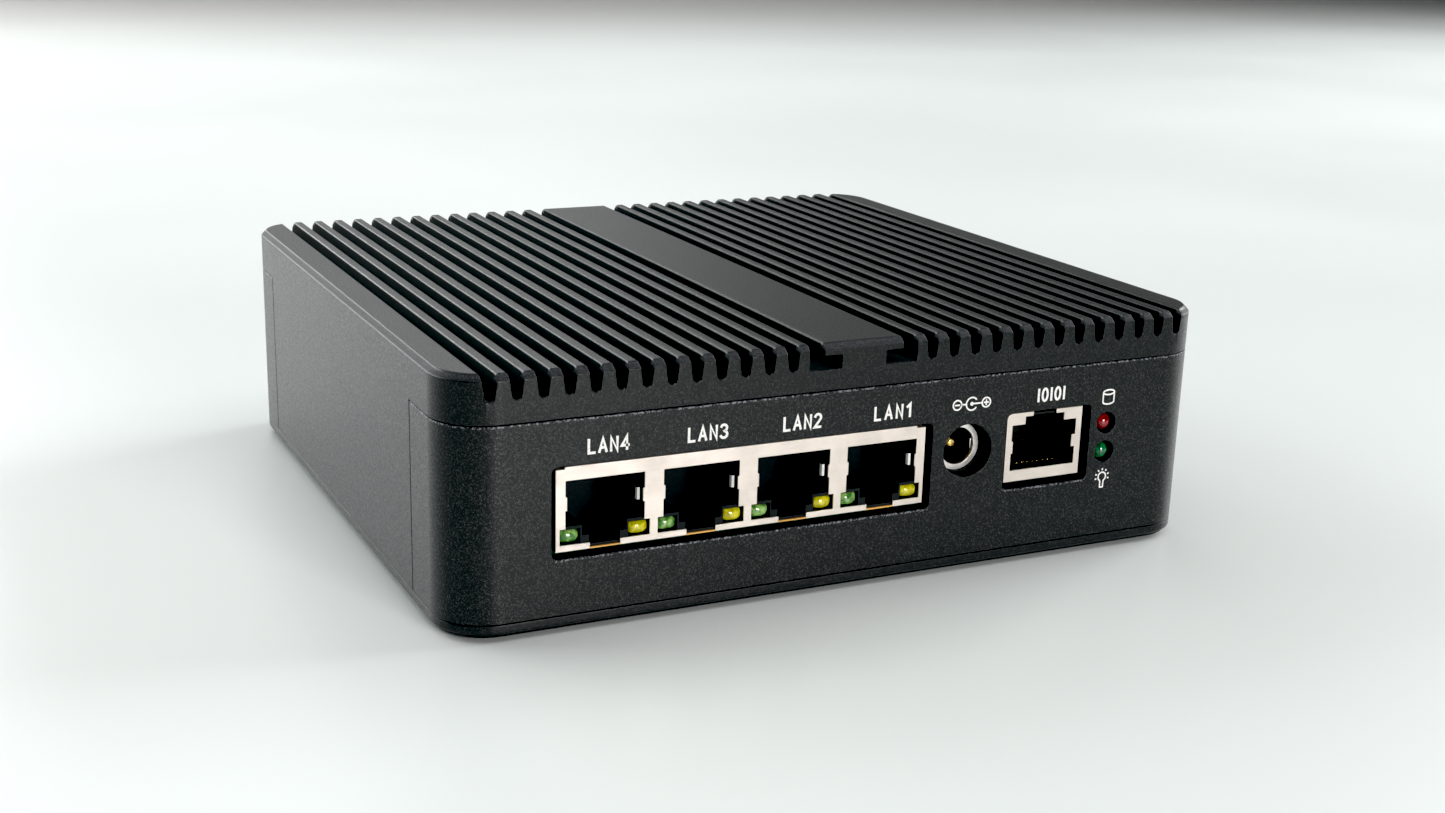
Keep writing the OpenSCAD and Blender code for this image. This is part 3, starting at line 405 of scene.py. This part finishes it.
def lens_domes(name, slot, node, low, high):
    """Four lenses whose rounded fronts stand out of their bays, in place of the plain CAD blocks."""
    mesh = bmesh.new()
    half_x = (high.x - low.x - (PORTS - 1) * PORT_PITCH) / 2
    half_z = (high.z - low.z) / 2
    mid_z = (high.z + low.z) / 2
    bulge = 1.05 * MM
    rim = low.y + 0.85 * MM
    steps = 9
    for k in range(PORTS):
        mid_x = low.x + half_x + k * PORT_PITCH
        rings = []
        for step in range(steps):
            rise = math.radians(90 * (step + 0.5) / (steps - 0.5))
            share = math.sin(rise)
            outline = superellipse(half_x * share, half_z * share, 2.1 + 0.7 * share)
            rings.append([(mid_x + x, rim - bulge * math.cos(rise), mid_z + z) for x, z in outline])
        rings.append([(mid_x + x, high.y, mid_z + z) for x, z in superellipse(half_x, half_z, 2.8)])
        bridge(mesh, rings)
    return add_piece(name, mesh, slot, replaced=node)


def lamp_dome(name, slot, node):
    """One round status lamp: a glossy half ball on a cylinder, a little ahead of its CAD solid."""
    low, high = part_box(node)
    ahead = 0.35 * MM
    radius = (high.x - low.x) / 2
    mid_x, mid_z = (low.x + high.x) / 2, (low.z + high.z) / 2
    mesh = bmesh.new()
    rings = []
    first, last, step = 6, 90, 12            # degrees from the tip to the rim
    for rise in range(first, last + 1, step):
        turn = math.radians(rise)
        reach = radius * math.sin(turn)
        y = low.y - ahead + radius * (1 - math.cos(turn))
        rings.append([(mid_x + x, y, mid_z + z) for x, z in superellipse(reach, reach, 2)])
    rings.append([(mid_x + x, high.y, mid_z + z) for x, z in superellipse(radius, radius, 2)])
    bridge(mesh, rings)
    return add_piece(name, mesh, slot, replaced=node)


def bent_strip(mesh, path, width_axis, half_width, thickness):
    """A strip of sheet along a path of points, as wide as given along one axis, with a closed section."""
    rings = []
    for k, point in enumerate(path):
        back, ahead = path[max(k - 1, 0)], path[min(k + 1, len(path) - 1)]
        along = (Vector(ahead) - Vector(back)).normalized()
        across = Vector(width_axis)
        out = along.cross(across).normalized() * thickness / 2
        side = across * half_width
        middle = Vector(point)
        rings.append([middle - side - out, middle + side - out, middle + side + out, middle - side + out])
    bridge(mesh, rings)


def port_springs():
    """The shield's folded grounding spring inside the right wall of each network socket."""
    mesh = bmesh.new()
    # Across from the socket's middle and in from the shield's face, in mm
    fold = [(5.85, 1.0), (5.5, 1.12), (5.32, 1.4), (5.5, 1.9), (5.9, 2.6), (6.3, 3.4)]
    height, half_width, thickness = 20.0 * MM, 0.95 * MM, 0.15 * MM
    for mid_x in PORT_X:
        path = [(mid_x + x * MM, SHIELD_FACE + y * MM, height) for x, y in fold]
        bent_strip(mesh, path, (0, 0, 1), half_width, thickness)
    return add_piece("port_springs", mesh, "nickel_shield", "bright_spring", smooth=False)


def notch_tapes():
    """The strip of amber insulating tape that shows in the notch under each network socket."""
    mesh = bmesh.new()
    reach, half_depth, thickness = 2.38 * MM, 0.15 * MM, 0.2 * MM
    y, z = SHIELD_FACE + 0.2 * MM, shield_low.z + 0.1 * MM
    for mid_x in PORT_X:
        path = [(mid_x + x, y, z) for x in (-reach, 0, reach)]
        bent_strip(mesh, path, (0, 1, 0), half_depth, thickness)
    return add_piece("notch_tapes", mesh, None, "amber_tape", smooth=False)


def arc(x, y, radius_x, radius_y, start, end, steps=10):
    """Points along an arc, in degrees from start to end."""
    turns = [math.radians(start + (end - start) * k / steps) for k in range(steps + 1)]
    return [(x + radius_x * math.cos(t), y + radius_y * math.sin(t)) for t in turns]


# Each glyph is its width and its pen strokes, in a cell 1 high
GLYPHS = {
    "L": (0.46, [[(0, 1), (0, 0), (0.46, 0)]]),
    "A": (0.56, [[(0, 0), (0.28, 1), (0.56, 0)], [(0.1, 0.32), (0.46, 0.32)]]),
    "N": (0.48, [[(0, 0), (0, 1), (0.48, 0), (0.48, 1)]]),
    "I": (0.0, [[(0, 0), (0, 1)]]),
    "O": (0.48, [arc(0.24, 0.5, 0.24, 0.5, 0, 360, 20)]),
    "1": (0.26, [[(0, 0.78), (0.26, 1), (0.26, 0)]]),
    "2": (0.5, [arc(0.25, 0.74, 0.25, 0.26, 165, -30) + [(0, 0), (0.5, 0)]]),
    "3": (0.5, [arc(0.23, 0.76, 0.24, 0.24, 160, -80) + arc(0.23, 0.26, 0.27, 0.26, 80, -160)]),
    "4": (0.55, [[(0.4, 0), (0.4, 1), (0, 0.3), (0.55, 0.3)]]),
}


def word(letters, middle, length, base, size):
    """The strokes of a word of a given length about a middle, with even gaps, on a base line."""
    gap = (length - size * sum(GLYPHS[letter][0] for letter in letters)) / (len(letters) - 1)
    strokes = []
    left = middle - length / 2
    for letter in letters:
        width, shapes = GLYPHS[letter]
        strokes += [[(left + x * size, base + z * size) for x, z in shape] for shape in shapes]
        left += width * size + gap
    return strokes


def polarity_icon(left, z, size):
    """The polarity sign of a power inlet: minus outside, plus at the pin."""
    ring, cup, pin = size * 0.36, size * 0.48, size * 0.09
    right = left + 3.2 * size
    middle = left + 1.6 * size
    mid_z = z + size / 2
    minus_x, plus_x = left + ring, right - ring
    strokes = []
    for mid_x in (minus_x, plus_x):
        strokes.append(arc(mid_x, mid_z, ring, ring, 0, 360, 20))
        strokes.append([(mid_x - ring * 0.5, mid_z), (mid_x + ring * 0.5, mid_z)])
    strokes.append([(plus_x, mid_z - ring * 0.5), (plus_x, mid_z + ring * 0.5)])
    strokes.append(arc(middle, mid_z, cup, cup, 40, 320, 20))
    strokes.append(arc(middle, mid_z, pin, pin, 0, 360, 12))
    strokes.append([(left + 2 * ring, mid_z), (middle - cup, mid_z)])
    strokes.append([(middle + pin, mid_z), (right - 2 * ring, mid_z)])
    return strokes


def disk_icon(x, z, size):
    """A stack of platters, the common sign for storage."""
    half, tilt = size * 0.46, size * 0.17
    top, foot = z + size * 0.84, z + size * 0.16
    lid = arc(x, top, half, tilt, 0, 360, 20)
    body = [(x - half, top)] + arc(x, foot, half, tilt, 180, 360) + [(x + half, top)]
    return [lid, body]


def bulb_icon(x, z, size):
    """A lit bulb, the common sign for power on."""
    radius, neck = size * 0.24, size * 0.1
    mid_z, foot, low, high = z + size * 0.62, z + size * 0.04, z + size * 0.08, z + size * 0.34
    glass = arc(x, mid_z, radius, radius, 240, -60, 18)
    outline = [(x - neck, low), (x - neck, high)] + glass + [(x + neck, high), (x + neck, low)]
    strokes = [outline, [(x - neck, foot), (x + neck, foot)]]
    for turn in range(-15, 196, 35):
        c, s = math.cos(math.radians(turn)), math.sin(math.radians(turn))
        strokes.append([(x + c * radius * k, mid_z + s * radius * k) for k in (1.55, 1.8)])
    return strokes


def power_icon(x, z, size):
    """A broken ring with a bar, the common sign for a power button."""
    radius = size / 2
    ring = arc(x, z + radius, radius * 0.9, radius * 0.9, 125, 415, 24)
    return [ring, [(x, z + radius), (x, z + size)]]


def ink(mesh, strokes, pen, face, facing):
    """Lays pen strokes, given in mm, on a face as thin flat ribbons.

    facing is 1 on the front face and -1 on the rear face."""
    for number, stroke in enumerate(strokes):
        skin = 0.02 + 0.002 * (number % 7)       # crossing strokes don't share a plane
        closed = math.dist(stroke[0], stroke[-1]) < 0.01
        points = [Vector(p) for p in (stroke[:-1] if closed else stroke)]
        count = len(points)
        rings = []
        for k, here in enumerate(points):
            before = points[k - 1] if closed or k > 0 else None
            after = points[(k + 1) % count] if closed or k < count - 1 else None
            one = (here - before).normalized() if before is not None else (after - here).normalized()
            two = (after - here).normalized() if after is not None else one
            along = (one + two).normalized()
            across = Vector((-along.y, along.x))
            reach = pen / 2 / max(0.4, across.dot(Vector((-one.y, one.x))))
            here = here - one * pen * 0.3 if before is None else here
            here = here + one * pen * 0.3 if after is None else here
            corners = ((reach, -skin), (reach, skin), (-reach, skin), (-reach, -skin))
            spots = [(here + across * side, depth) for side, depth in corners]
            rings.append([(facing * spot.x * MM, (face - facing * depth) * MM, spot.y * MM)
                          for spot, depth in spots])
        bridge(mesh, rings + rings[:1] if closed else rings, not closed, not closed)


# Widths of the printed lines, in mm
LETTER_PEN, SIGN_PEN, REAR_PEN = 0.4, 0.26, 0.3


def front_labels():
    """Generic port names and signs in white ink on the front panel."""
    # Letter height, base line, and the step from one port's name to the next, in mm
    cap, base, step = 2.05, 27.5, 15.95
    first = PORT_X[0] / MM + 0.4
    strokes = []
    for k in range(PORTS):
        strokes += word("LAN" + str(PORTS - k), middle=first + k * step, length=6.3, base=base, size=cap)
    strokes += word("IOIOI", middle=35.6, length=5.0, base=base, size=cap)
    lamp_low, lamp_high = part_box("disk_lamp")
    lamp_x = (lamp_low.x + lamp_high.x) / 2 / MM
    mesh = bmesh.new()
    ink(mesh, strokes, LETTER_PEN, FRONT, 1)
    signs = polarity_icon(left=16.7, z=27.3, size=2.2)
    signs += disk_icon(lamp_x, z=25.7, size=2.4)
    signs += bulb_icon(lamp_x, z=11.0, size=3.2)
    ink(mesh, signs, SIGN_PEN, FRONT, 1)
    return add_piece("front_labels", mesh, None, "white_ink", smooth=False)


def rear_labels():
    """The power sign in white ink over the rear button."""
    low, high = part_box("power_button")
    seen_x = -(low.x + high.x) / 2 / MM       # a rear sign is drawn as seen from behind
    mesh = bmesh.new()
    ink(mesh, power_icon(seen_x, high.z / MM + 1.2, 2.4), REAR_PEN, REAR, -1)
    return add_piece("rear_labels", mesh, None, "white_ink", smooth=False)


lens_domes("link_lens_domes", "green_lens", "lan_link_lenses", link_low, link_high)
lens_domes("speed_lens_domes", "yellow_lens", "lan_speed_lenses", speed_low, speed_high)
lamp_dome("disk_lamp_dome", "red_lamp", "disk_lamp")
lamp_dome("power_lamp_dome", "green_lamp", "power_lamp")
port_springs()
notch_tapes()
front_labels()
rear_labels()

# ---------------------------------------------------------------- floor, light and camera


def stage_floor():
    """A pale table that turns up into a grey wall far behind the object."""
    s = Shader("floor", IOR=1.45)
    colour = s.mix(s.band(s.axis("Y"), 700, 1250), (0.76, 0.79, 0.78, 1), (0.5, 0.49, 0.485, 1))
    stains = s.noise(260.0, detail=3.0)
    material = s.finish(Base_Color=colour, Roughness=s.band(stains, 0.3, 0.7, 0.3, 0.38))
    mesh = bmesh.new()
    half, bend, radius, wall_top, steps = 3.0, 1.3, 0.5, 2.5, 12
    profile = [(-half, 0.0), (bend, 0.0)]
    for k in range(1, steps + 1):
        turn = math.radians(90 * k / steps)
        profile.append((bend + radius * math.sin(turn), radius - radius * math.cos(turn)))
    profile.append((bend + radius, wall_top))
    rows = [[mesh.verts.new((x, y, z)) for x in (-half, half)] for y, z in profile]
    for one, two in zip(rows, rows[1:]):
        mesh.faces.new((one[0], one[1], two[1], two[0])).smooth = True
    data = bpy.data.meshes.new("floor")
    mesh.to_mesh(data)
    data.materials.append(material)
    floor = bpy.data.objects.new("floor", data)
    bpy.context.scene.collection.objects.link(floor)


def area_light(name, place, aim, size, power, colour):
    """A rectangular soft light at a place, facing a point. Lengths are in metres and power in watts."""
    data = bpy.data.lights.new(name, "AREA")
    data.shape = "RECTANGLE"
    data.size, data.size_y = size
    data.energy = power
    data.color = colour
    light = bpy.data.objects.new(name, data)
    light.location = place
    light.rotation_euler = (Vector(aim) - Vector(place)).to_track_quat("-Z", "Y").to_euler()
    bpy.context.scene.collection.objects.link(light)


def sky(strength):
    """An even dim light from all round."""
    world = bpy.data.worlds.new("sky")
    world.use_nodes = True
    background = world.node_tree.nodes["Background"]
    background.inputs["Color"].default_value = (0.93, 0.97, 1.0, 1)
    background.inputs["Strength"].default_value = strength
    bpy.context.scene.world = world


def camera():
    """The photograph's viewpoint: from the front left and a little above, on a normal lens."""
    yaw, pitch, roll = 0.4553, 0.2796, -0.0275
    forward = Vector((math.sin(yaw) * math.cos(pitch), math.cos(yaw) * math.cos(pitch), -math.sin(pitch)))
    right = Vector((math.cos(yaw), -math.sin(yaw), 0))
    down = forward.cross(right)
    across = math.cos(roll) * right + math.sin(roll) * down
    below = math.cos(roll) * down - math.sin(roll) * right
    stand = Vector((-139.87, -298.44, 107.99)) * MM
    data = bpy.data.cameras.new("camera")
    data.lens = 45.82
    data.sensor_width = 36
    data.clip_start = 0.01
    eye = bpy.data.objects.new("camera", data)
    turn = Matrix((across, -below, -forward)).transposed().to_4x4()
    eye.matrix_world = Matrix.Translation(stand) @ turn
    bpy.context.scene.collection.objects.link(eye)
    bpy.context.scene.camera = eye


stage_floor()
sky(strength=0.02)
COOL, WARM = (0.975, 1.0, 0.99), (1.0, 0.96, 0.95)
CENTRE = (0, 0, 0)
area_light("front_low", (0.15, -1.1, 0.28), (0, 0, 0.02), (0.35, 0.3), 9.4, WARM)
area_light("right", (1.3, 0.1, 0.6), CENTRE, (1.0, 0.8), 20, COOL)
area_light("overhead", (-0.1, 0.0, 1.1), CENTRE, (1.6, 1.2), 6.5, COOL)
area_light("overhead_back", (-0.2, 1.15, 0.7), CENTRE, (1.6, 0.5), 4.8, COOL)
area_light("left_back", (-1.0, 0.8, 0.6), CENTRE, (0.9, 0.7), 10, COOL)
area_light("window", (-0.4, 1.2, 0.35), CENTRE, (0.6, 0.5), 5, COOL)
camera()

# Standard colours, with the photograph's deep blacks
view = bpy.context.scene.view_settings
view.view_transform = "Standard"
view.use_curve_mapping = True
view.curve_mapping.black_level = (0.021, 0.018, 0.0175)
